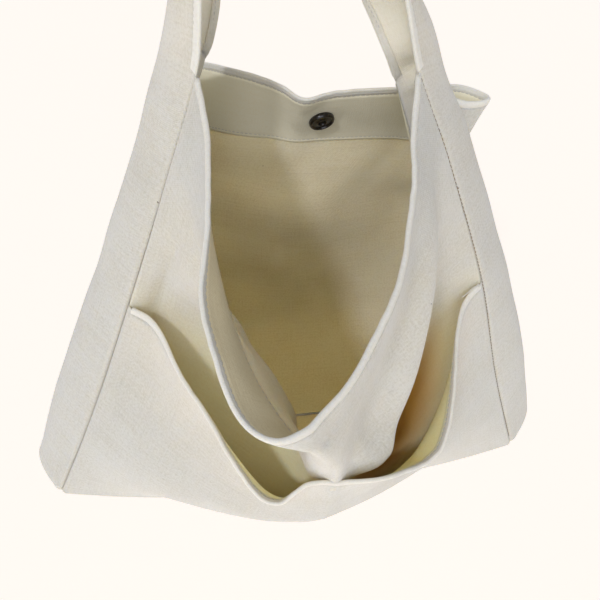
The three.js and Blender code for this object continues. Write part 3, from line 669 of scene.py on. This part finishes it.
# where a seam's ways are read: across the panel and the band, up from the bottom, into the bottom
beside = {"panel": 0.97, "band": 0.87, "up": 0.02, "bottom": 0.1, "bottomEnd": 0.95}
stripSteps = np.concatenate([np.linspace(0, 5.5, 8), [7.3, 9.3, 11.3]])  # a strip's rows on the flat cloth


def hemOffset(s, depth, pinch=lowStitch["pinch"]):  # a hem swells beside its edge and pinches at its stitches
    waves = hemSwell + [(-pinch, depth - lowStitch["up"], lowStitch["wide"])]
    return sum(height * np.exp(-((s - place) / wide)**2) for height, place, wide in waves)


def seamWays(seam, one, two, outOne, outTwo, press=0.0):  # how two sheets turn in, pressed towards the second
    one, two = unit(one - seam), unit(two - seam)
    turnIn = unit(one * (1 - press) + two - seamLean["inward"] * unit(outOne + outTwo))
    apart = one - two + seamLean["apart"] * (outOne - outTwo)
    return seam, turnIn, unit(apart - (apart * turnIn).sum(1, keepdims=True) * turnIn)


def sideSeam(panel, out, side, bandSide, level):
    rows, band = bands[side]
    held = np.clip(level, 0, 1)
    onPanel = np.full(len(held), side * beside["panel"])
    onBand = np.full(len(held), bandSide * beside["band"])
    return seamWays(bandEdge(rows, "front" if bandSide < 0 else "back", held),
                    panel(onPanel, held), band(onBand, held),
                    faceNormal(panel, onPanel, held) * out, faceNormal(band, onBand, held, bandTop) * side)


def panelBottomSeam(panel, out, back, across):
    low, near = np.zeros(len(across)), np.full(len(across), beside["up"])
    edge = np.full(len(across), float(back))
    inside = np.full(len(across), 1 - beside["bottom"] if back else beside["bottom"])
    return seamWays(panel(across, low), panel(across, near), bottomCloth(across, inside),
                    faceNormal(panel, across, near) * out, -faceNormal(bottomCloth, across, edge),
                    seamPress * back)


def bandBottomSeam(side, across):
    band = bands[side][1]
    low, near = np.zeros(len(across)), np.full(len(across), beside["up"])
    onBottom, back = np.full(len(across), side * beside["bottomEnd"]), (across + 1) / 2
    return seamWays(band(across, low), band(across, near), bottomCloth(onBottom, back),
                    faceNormal(band, across, near, bandTop) * side, -faceNormal(bottomCloth, onBottom, back))


def seamStrip(edgePoints, seam, turnIn, apart, layers=0, allowance=cut["allowance"]):  # turned in at a seam
    gap = cut["layer"] / 2 + seamRoll["gap"] + np.reshape(layers, (-1, 1)) * cut["layer"] * seamRoll["layer"]
    close = apart * gap
    control = seam + close * seamRoll["pull"]
    stop = seam + close + turnIn * seamRoll["length"]
    strip = []
    for t in np.linspace(0, 1, 8):
        strip.append(edgePoints * (1 - t)**2 + control * 2 * t * (1 - t) + stop * t**2)
    for further in np.linspace(seamRoll["length"], allowance, 4)[1:]:
        strip.append(seam + close + turnIn * further)
    return np.stack(strip, 1)


def stripBlock(strip, flatEdge, side, crosswise=False):  # a strip in grid order, with its place on flat cloth
    way = np.array((0.0, side) if crosswise else (side, 0.0))
    flat = flatEdge[:, None, :] + stripSteps[None, :, None] * way
    strip, flat = strip[:, ::side], flat[:, ::side]
    if crosswise:
        strip, flat = np.swapaxes(strip, 0, 1), np.swapaxes(flat, 0, 1)
    return strip, flat, 0


def edgeSpeed(surface, side, up):  # millimetres for a step of 1 across, at a side
    step = 0.02
    inner = surface(np.full(len(up), side * (1 - step)), up)
    return np.linalg.norm(surface(np.full(len(up), float(side)), up) - inner, axis=1) / step


def topSpeed(surface, across):  # millimetres for a step of 1 up, at the top
    step = 0.03
    below = surface(across, np.full(len(across), 1 - step))
    return np.linalg.norm(surface(across, np.ones(len(across))) - below, axis=1) / step


def panelGrids(surface, panel, out, shape, bandSide, layers=None, level=1.0):
    # panel is the sheet that holds the seams; level scales up to the side seams' level
    columns, rows, depth, height = [shape[key] for key in ("columns", "rows", "hem", "height")]
    shareUp = np.linspace(0, 1, 60)
    trim = {side: cut["seamTurn"] / np.maximum(edgeSpeed(surface, side, shareUp), 40) for side in (-1, 1)}
    speedUp = topSpeed(surface, np.linspace(-1, 1, columns + 1))
    wide = depth > 20  # a narrow hem has one stitch line, a wide one two
    between = max(4, rows // 9)
    bottomUp = cut["seamTurn"] / height
    lines = []
    for speed in speedUp:
        top = 1 - nearEdge / speed
        if wide:
            low = np.linspace(bottomUp, 1 - (depth + 3) / height, rows)
            sewn = 1 - (nearStitch + depth - lowStitch["up"]) / height
            lines.append(np.concatenate([low, sewn, np.linspace(sewn[-1], top[0], between + 2)[1:-1], top]))
        else:
            lines.append(np.concatenate([np.linspace(bottomUp, top[0], rows)[:-1], top]))
    up = np.stack(lines, 1)
    low = -1 + np.interp(up, shareUp, trim[-1])
    high = 1 - np.interp(up, shareUp, trim[1])
    across = low + (high - low) * np.linspace(0, 1, columns + 1)
    away = (1 - up) * np.where(up > 0.9, speedUp[None, :], height)
    normal = normalGrid(surface, across, up) * out
    grid = onGrid(surface, across, up)
    pinch = lowStitch["pinch"] if out < 0 else 0.0  # the front's lower stitches do not show outside
    swell = hemOffset(away, depth, pinch) * (away < depth + 6)
    grid = grid + normal * swell[..., None] * hemWeight["outside"]
    flat = np.stack([across * cut["width"] / 2, up * height], 2)
    blocks = [(grid[:-6], flat[:-6], 0), (grid[-7:], flat[-7:], 4)]
    # hem: around the edge and down the inside
    inward = -normal[-1]
    rise = unit(grid[-1] - grid[-2])
    radius = (hemApart + hemRoll["wider"]) / 2
    around = []
    for angle in np.radians((0, 30, 60, 90, 120, 150, 180)):
        around.append(grid[-1] + inward * radius * (1 - math.cos(angle)) + rise * radius * math.sin(angle))
    if wide:
        down = np.concatenate([nearEdge[::-1][1:], np.linspace(nearEdge[0], depth - 5, between)[1:],
                               depth - np.array([4, 3.2, 2.5, 1.8, 1.0, 0.3, 0.0])])
    else:
        down = np.array([0.6, 1.2, 1.8, 2.4, 3.0, 3.6, 4.2, 5.0, depth - 1.0, depth - 0.3, depth])
    far = smooth(8, 40, down)[:, None]
    upDown = 1 - down[:, None] * ((1 - far) / speedUp[None, :] + far / height)
    acrossDown = np.repeat(across[-1][None, :], len(down), 0)
    apart = hemApart + hemOffset(down, depth) * hemWeight["inside"]
    apart[-3:] = (hemApart + 0.1, hemApart - 0.1, hemRoll["end"])  # its edge lies down on the sheet
    inner = onGrid(surface, acrossDown, upDown)
    inner = inner - normalGrid(surface, acrossDown, upDown) * out * apart[:, None, None]
    hemPlaces = np.concatenate([np.stack(around), inner])
    further = np.concatenate([np.linspace(0, hemRoll["length"], 7), hemRoll["length"] + down])
    hemFlat = np.stack(np.broadcast_arrays(flat[-1, :, 0], height + further[:, None]), 2)
    blocks += [(hemPlaces[:13], hemFlat[:13], 4), (hemPlaces[12:], hemFlat[12:], 2)]
    # side seams and bottom seam
    for side, column in ((-1, 0), (1, -1)):
        here = up[:, column] * level
        ways = sideSeam(panel, out, side, bandSide, here)
        strip = seamStrip(grid[:, column], *ways, layers(here) if layers else 0)
        blocks.append(stripBlock(strip, flat[:, column], side))
    ways = panelBottomSeam(panel, out, bandSide > 0, across[0])
    count = layers(np.zeros(columns + 1)) if layers else 0
    strip = seamStrip(grid[0], *ways, count, cut["bottomAllowance"])
    blocks.append(stripBlock(strip, flat[0], -1, True))
    return blocks


bands = {-1: (leftRows, leftCloth), 1: (rightRows, rightCloth)}
frontShape = {"columns": 170, "rows": 118, "hem": cut["hem"], "height": cut["height"]}
backShape = {"columns": 200, "rows": 118, "hem": cut["hem"], "height": cut["height"]}
pocketShape = {"columns": 220, "rows": 84, "hem": 6.5, "height": 217.0}
bandShape = {"columns": 60, "rows": 260, "turn": 5.5, "seamEnd": 1.0, "blend": 0.03, "roll": 0.75,
             "topRoll": 0.7}
bottomShape = {"columns": 130, "rows": 30}


def underPocket(level):  # inside a seam the front lies one layer further in where the pocket is sewn on it
    return 1 - smooth(cut["pocketTop"] - 0.02, cut["pocketTop"] + 0.02, level)


# the front's inside takes the warmer inner copy, its hem's inner layer the golden copy, its rim the lighter
# copy: painted shade and painted light
frontPanel = clothObject("frontPanel", panelGrids(frontCloth, frontCloth, 1, frontShape, -1, underPocket), 1,
                         ("front", "inner", "hem", "hem", "rim", "rim"))
# the back's inside takes the warmer inner copy of the canvas, its hem facing and rim lighter copies: painted
# shade and painted light
backPanel = clothObject("backPanel", panelGrids(backCloth, backCloth, -1, backShape, 1), -1,
                        ("outer", "inner", "paintedLightFacing", "paintedLightFacing", "paintedLightLining", "paintedLightLining"))
pocketGrids = panelGrids(pocketCloth, frontCloth, 1, pocketShape, -1, level=cut["pocketTop"])
# the pocket's inside and its hem take the painted golden shade, its rim the lighter copy of painted light
pocketPanel = clothObject("pocketPanel", pocketGrids, 1, ("outer", "paintedShade", "paintedShade", "paintedShade", "rim", "rim"))


def bandGrids(surface, side):
    level = np.linspace(cut["seamTurn"] / cut["height"], bandTop - 0.3 / cut["height"], bandShape["rows"])
    trim = cut["seamTurn"] / (cut["band"] / 2)
    across, up = np.meshgrid(np.linspace(-1 + trim, 1 - trim, bandShape["columns"] + 1), level)
    grid = onGrid(surface, across, up)
    normal = normalGrid(surface, across, up, bandTop) * side
    flat = np.stack([across * cut["band"] / 2, up * cut["height"]], 2)
    blocks = [(grid, flat, 0)]
    share = smooth(bandShape["seamEnd"], bandShape["seamEnd"] + bandShape["blend"], level)[:, None, None]
    sewnRows = int(np.searchsorted(level, bandShape["seamEnd"]))
    radius = bandShape["roll"]
    for bandSide, column in ((-1, 0), (1, -1)):  # sewn to the panels below, turned under as the strap above
        panel, out = (frontCloth, 1) if bandSide < 0 else (backCloth, -1)
        start, inward = grid[:, column], -normal[:, column]
        line, turnIn, apart = sideSeam(panel, out, side, bandSide, level)
        sewn = seamStrip(start, line, turnIn, -apart)
        edge = surface(np.full(len(level), float(bandSide)), level)
        own = unit(start - edge)
        turned = [start, start * 0.5 + (edge + own * radius) * 0.5]
        for angle in np.radians((0, 36, 72, 108, 144, 180)):
            around = own * (1 - math.sin(angle)) + inward * (1 - math.cos(angle))
            turned.append(edge + around * radius)
        for back in (2.4, 4.0, bandShape["turn"]):
            under = surface(np.full(len(level), bandSide * (1 - back / (cut["band"] / 2))), level)
            turned.append(under + inward * 2 * radius)
        strip = sewn * (1 - share) + np.stack(turned, 1) * share
        strip, mapStrip, _ = stripBlock(strip, flat[:, column], bandSide)
        blocks.append((strip[:sewnRows + 1], mapStrip[:sewnRows + 1], 0))
        blocks.append((strip[sewnRows:], mapStrip[sewnRows:], 1))
    blocks.append(stripBlock(seamStrip(grid[0], *bandBottomSeam(side, across[0])), flat[0], -1, True))
    # shoulder seam at the top, its allowance pressed back under the strip
    end, inward = grid[-1], -normal[-1]
    back = unit(grid[-2] - grid[-1]) * bandShape["topRoll"]
    fold = [end]
    for angle in np.radians((45, 90, 135, 180)):
        fold.append(end - back * math.sin(angle) + inward * bandShape["topRoll"] * (1 - math.cos(angle)))
    for length in (3.0, 6.0, 9.0):
        under = surface(across[-1], np.full(across.shape[1], bandTop - length / cut["height"]))
        fold.append(under + inward * 2 * bandShape["topRoll"])
    steps = np.array([0, 0.5, 1.1, 1.7, 2.2, 5.2, 8.2, 11.2])
    blocks.append((np.stack(fold), flat[-1][None] + steps[:, None, None] * np.array((0, 1.0)), 0))
    return blocks


# the bands' insides take the lighter copy of the canvas, painted light
leftBand = clothObject("leftBand", bandGrids(leftCloth, -1), -1, ("outer", "paintedLightLining", "paintedLightLining"))
rightBand = clothObject("rightBand", bandGrids(rightCloth, 1), 1, ("outer", "paintedLightLining", "paintedLightLining"))


def bottomGrids():
    inset = cut["seamTurn"] / cut["band"]
    ends = cut["seamTurn"] / (cut["width"] / 2)
    across, back = np.meshgrid(np.linspace(-1 + ends, 1 - ends, bottomShape["columns"] + 1),
                               np.linspace(inset, 1 - inset, bottomShape["rows"] + 1))
    grid = onGrid(bottomCloth, across, back)
    flat = np.stack([across * cut["width"] / 2, back * cut["band"]], 2)
    blocks = [(grid, flat, 0)]
    for row, panel, out in ((0, frontCloth, 1), (-1, backCloth, -1)):
        line, turnIn, apart = panelBottomSeam(panel, out, row < 0, across[row])
        strip = seamStrip(grid[row], line, turnIn, -apart, 0, cut["bottomAllowance"])
        blocks.append(stripBlock(strip, flat[row], -out, True))
    for side, column in ((-1, 0), (1, -1)):
        line, turnIn, apart = bandBottomSeam(side, 2 * back[:, column] - 1)
        blocks.append(stripBlock(seamStrip(grid[:, column], line, turnIn, -apart), flat[:, column], side))
    return blocks


# its inside face takes the warmer inner copy of the canvas, painted golden shade
bottomPanel = clothObject("bottomPanel", bottomGrids(), -1, ("outer", "inner"))


# stitches: one low capsule of five rings, repeated along lines on the cloth
stitchRings = [  # place along the stitch, girth, height
    (-0.5, 0.3, -0.24), (-0.36, 0.85, -0.02), (0.0, 1.0, 0.06), (0.36, 0.85, -0.02), (0.5, 0.3, -0.24)]
stitchSides = 6
stitchSunk = 0.12  # how deep a stitch lies in the cloth


def stitchLines(name, lines, material):
    points, faces = [], []
    count, sides, rings = 0, stitchSides, len(stitchRings)
    for line, normal in lines:
        reach = np.concatenate([[0], np.cumsum(np.linalg.norm(np.diff(line, axis=0), axis=1))])
        places = np.arange(hemStitch["pitch"], reach[-1] - hemStitch["pitch"], hemStitch["pitch"])
        read = lambda s, field: np.stack([np.interp(s, reach, field[:, k]) for k in range(3)], 1)
        middle = read(places, line)
        way = unit(read(places + 0.6, line) - read(places - 0.6, line))
        up = unit(read(places, normal))
        across = unit(np.cross(way, up))
        for along, girth, height in stitchRings:
            for turn in 2 * np.pi * np.arange(sides) / sides:
                points.append(middle + way * along * hemStitch["length"]
                              + across * (girth * hemStitch["wide"] / 2 * math.cos(turn))
                              + up * (height + girth * hemStitch["high"] / 2 * math.sin(turn)))
        number = count + np.arange(len(places))[:, None]
        ring = [number + len(places) * (sides * k + np.arange(sides)) for k in range(rings)]
        for a, b in zip(ring, ring[1:]):
            for t in range(sides):
                n = (t + 1) % sides
                faces += np.stack([a[:, t], b[:, t], b[:, n], a[:, n]], 1).tolist()
        faces += ring[0].tolist() + ring[-1][:, ::-1].tolist()
        count += sides * rings * len(places)
    piece = addPiece(name, points, faces, [material])
    editAll(bpy.ops.mesh.normals_make_consistent, inside=False)
    bpy.ops.object.shade_smooth()
    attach(piece, "root")
    print(name, count // (sides * rings), "stitches")
    return piece


def stitchAlong(surface, across, up, sign, lift, top=1.0):
    normal = faceNormal(surface, across, up, top) * sign
    return surface(across, up) + normal * (cut["layer"] / 2 + lift), normal


def hemStitches(surface, out, shape):  # inside and outside along the edge, then along the hem's lower edge
    across = np.linspace(-0.985, 0.985, 500)
    lower = 1 - (shape["hem"] - lowStitch["up"]) / shape["height"]
    found = []
    for up in (1 - hemStitch["in"] / topSpeed(surface, across), np.full(len(across), lower)):
        found.append(stitchAlong(surface, across, up, -out, hemApart - 0.25))
        found.append(stitchAlong(surface, across, up, out, -stitchSunk))
    return found


strapStitch = {"in": 3.6, "start": 1.06, "under": 1.35, "top": 3.2}  # start is a level of the band


def strapStitches(surface, side):
    level = np.linspace(strapStitch["start"], bandTop - 0.01, 300)
    found = []
    for edge in (-1, 1):
        across = np.full(len(level), edge * (1 - strapStitch["in"] / (cut["band"] / 2)))
        found.append(stitchAlong(surface, across, level, side, -stitchSunk, bandTop))
        found.append(stitchAlong(surface, across, level, -side, strapStitch["under"], bandTop))
    across = np.linspace(-0.95, 0.95, 120)
    top = np.full(len(across), bandTop - strapStitch["top"] / cut["height"])
    found.append(stitchAlong(surface, across, top, side, -stitchSunk, bandTop))
    return found


def seamThread(side):  # the sewing that shows in the groove of a front side seam
    seam, turnIn, _ = sideSeam(frontCloth, 1, side, -1, np.linspace(0.03, 0.995, 400))
    return [(seam + turnIn * 0.5, -turnIn)]


frontStitches = stitchLines("frontStitches", hemStitches(frontCloth, 1, frontShape)[:3], threadMaterial)
backStitches = stitchLines("backStitches", hemStitches(backCloth, -1, backShape), threadMaterial)
pocketLines = hemStitches(pocketCloth, 1, pocketShape)[:2]
centreUp = np.linspace(0.03, 0.985, 200)
pocketLines.append(stitchAlong(pocketCloth, np.full(len(centreUp), pocketStitch), centreUp, 1, -0.1))
pocketStitches = stitchLines("pocketStitches", pocketLines, threadMaterial)
leftSeamThread = stitchLines("leftSeamThread", seamThread(-1), threadMaterial)
# the right seam's thread is dark partly as a painted shadow of its groove
rightSeamThread = stitchLines("rightSeamThread", seamThread(1), brownThreadAndShadow)
leftStitches = stitchLines("leftStrapStitches", strapStitches(leftCloth, -1), threadMaterial)
rightStitches = stitchLines("rightStrapStitches", strapStitches(rightCloth, 1), threadMaterial)

# a loose end of thread at the pocket's right corner
looseEnd = {"from": (129, 4, 200), "to": (114, -3, 197), "sag": 3.0, "pull": 4.0, "thick": 0.4}
deselectAll()
bpy.ops.curve.primitive_bezier_curve_add()
looseThread = bpy.context.object
looseThread.name = "looseThread"
for knot, key, lean in zip(looseThread.data.splines[0].bezier_points, ("from", "to"), (-1, 1)):
    knot.co = Vector((np.array(looseEnd[key]) + bagToFrame) * mm)
    handle = Vector((looseEnd["pull"] * mm, 0, looseEnd["sag"] * mm * lean))
    knot.handle_left = knot.co + handle
    knot.handle_right = knot.co - handle
looseThread.data.bevel_depth = looseEnd["thick"] * mm
looseThread.data.bevel_resolution = 2
bpy.ops.object.convert(target="MESH")
bpy.ops.object.shade_smooth()
looseThread.data.materials.append(threadMaterial)
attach(looseThread, "root")

# the snap: a ring with a rolled rim, a sunk face and a hole, and its plain mate
snapGap = 0.35  # from the hem's inner face
ringShape = {"height": 1.984, "bevel": 0.22, "steps": [  # each step insets the top face, then moves it
    (0.8, 1.216), (0.9, 0), (0.7, -1.1),  # rolled rim and sunk face
    (2.6, 0.25), (0.5, 0.35), (0.5, 0), (0.35, -1.4)]}  # raised collar around the hole
mateShape = {"height": 0.96, "bevel": 0.2, "steps": [(0.8, 0.64), (6.1, 0), (0.1, 1.92), (0.5, 0.48)]}


def snapSeat(surface, seat, inward):
    across, up = np.array([seat]), np.array([snapUp])
    normal = faceNormal(surface, across, up)[0] * inward
    place = surface(across, up)[0] + normal * (cut["layer"] / 2 + hemApart + snapGap)
    turn = Vector((0, 0, 1)).rotation_difference(Vector(normal)).to_matrix().to_4x4()
    return Matrix.Translation(Vector((place + bagToFrame) * mm)) @ turn


def raiseTop(piece, inset, lift):  # inset the top face and move it along the axis
    bpy.ops.mesh.select_all(action="DESELECT")
    bpy.ops.object.mode_set(mode="OBJECT")
    for face in piece.data.polygons:
        face.select = face.normal.z > 0.9 and len(face.vertices) > 8
    bpy.ops.object.mode_set(mode="EDIT")
    bpy.ops.mesh.select_mode(type="FACE")
    bpy.ops.mesh.inset(thickness=inset * mm, depth=0)
    bpy.ops.transform.translate(value=(0, 0, lift * mm))


def snapHalf(name, shape, matrix):
    height = shape["height"] * mm
    deselectAll()
    bpy.ops.mesh.primitive_cylinder_add(vertices=96, radius=snap["radius"] * mm, depth=height,
                                        location=(0, 0, height / 2))
    piece = bpy.context.object
    piece.name = name
    bpy.ops.object.transform_apply(location=True, rotation=True, scale=True)
    bpy.ops.object.mode_set(mode="EDIT")
    for inset, lift in shape["steps"]:
        raiseTop(piece, inset, lift)
    bpy.ops.object.mode_set(mode="OBJECT")
    rounder = piece.modifiers.new("rounding", "BEVEL")
    rounder.width = shape["bevel"] * mm
    rounder.segments = 5
    rounder.limit_method = "ANGLE"
    rounder.angle_limit = math.radians(28)
    bpy.ops.object.modifier_apply(modifier=rounder.name)
    piece.matrix_world = matrix
    bpy.ops.object.transform_apply(location=True, rotation=True, scale=True)
    bpy.ops.object.shade_smooth_by_angle(angle=math.radians(40))
    piece.data.materials.clear()
    piece.data.materials.append(enamelMaterial)
    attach(piece, "root")
    return piece


snapRing = snapHalf("snapRing", ringShape, snapSeat(backCloth, snap["back"], 1))
snapMate = snapHalf("snapMate", mateShape, snapSeat(frontCloth, snap["front"], -1))
print("snap ready")

for piece, node in ((frontPanel, "front_panel"), (backPanel, "back_panel"), (pocketPanel, "pocket_panel"),
                    (bottomPanel, "bottom_panel"), (leftBand, "left_side_band"),
                    (rightBand, "right_side_band"), (snapRing, "snap_socket"), (snapMate, "snap_stud")):
    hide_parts(node)
# floor, light and camera
stage = {"floor": -1.15, "size": 12.0, "tint": (0.96, 0.86, 0.70), "darker": 0.99, "glow": 0.44}
deselectAll()
bpy.ops.mesh.primitive_plane_add(size=stage["size"], location=(0, 0, stage["floor"]))
floor = bpy.context.object
floor.name = "floor"
bpy.ops.object.transform_apply(location=True, rotation=True, scale=True)
paper, paperTree = newMaterial("paleFloor")
paperGrain = noise(paperTree, addNode(paperTree, "ShaderNodeTexCoord").outputs["Object"], 3.0)
paperDark = tuple(c * stage["darker"] for c in stage["tint"])
toShader(paperTree, {"Base Color": mixed(paperTree, paperGrain, stage["tint"], paperDark), "Roughness": 0.9,
                     "Emission Color": (1.0, 0.96, 0.96, 1), "Emission Strength": stage["glow"]})
floor.data.materials.append(paper)

lights = [  # name, the way it comes from, soft angle in degrees, strength, colour
    ("keyLight", (-0.55, -0.82, 0.82), 7.0, 0.95, (0.96, 0.975, 1.07)),
    ("frontLight", (-0.1, -0.97, 0.12), 40.0, 0.62, (0.96, 0.975, 1.06))]
for name, source, spread, strength, colour in lights:
    lamp = bpy.data.lights.new(name, "SUN")
    lamp.angle = math.radians(spread)
    lamp.energy = strength
    lamp.color = colour
    holder = bpy.data.objects.new(name, lamp)
    holder.rotation_euler = Vector(source).to_track_quat("Z", "Y").to_euler()
    bpy.context.collection.objects.link(holder)
world = bpy.data.worlds.new("studio")
world.use_nodes = True
for key, value in {"Color": (0.95, 0.98, 1.07, 1), "Strength": 0.42}.items():
    world.node_tree.nodes["Background"].inputs[key].default_value = value
bpy.context.scene.world = world
bpy.context.scene.view_settings.view_transform = "Standard"

camera = {"place": (-0.042, -0.341, -0.18097), "pitch": math.radians(40), "yaw": 0.17, "roll": -0.04,
          "lens": 33.6}
yaw, pitch, roll = camera["yaw"], camera["pitch"], camera["roll"]
ahead = np.array((math.sin(yaw) * math.cos(pitch), math.cos(yaw) * math.cos(pitch), -math.sin(pitch)))
right = np.array((math.cos(yaw), -math.sin(yaw), 0))
down = np.cross(ahead, right)
turnedRight = math.cos(roll) * right + math.sin(roll) * down
turnedDown = -math.sin(roll) * right + math.cos(roll) * down
lens = bpy.data.cameras.new("photoView")
lens.lens = camera["lens"]
lens.sensor_width = 36
lens.clip_start = 0.01
eye = bpy.data.objects.new("photoView", lens)
axes = np.stack([turnedRight, -turnedDown, -ahead, camera["place"]], 1)
eye.matrix_world = Matrix(axes.tolist() + [[0, 0, 0, 1]])
bpy.context.collection.objects.link(eye)
bpy.context.scene.camera = eye
print("stage ready")
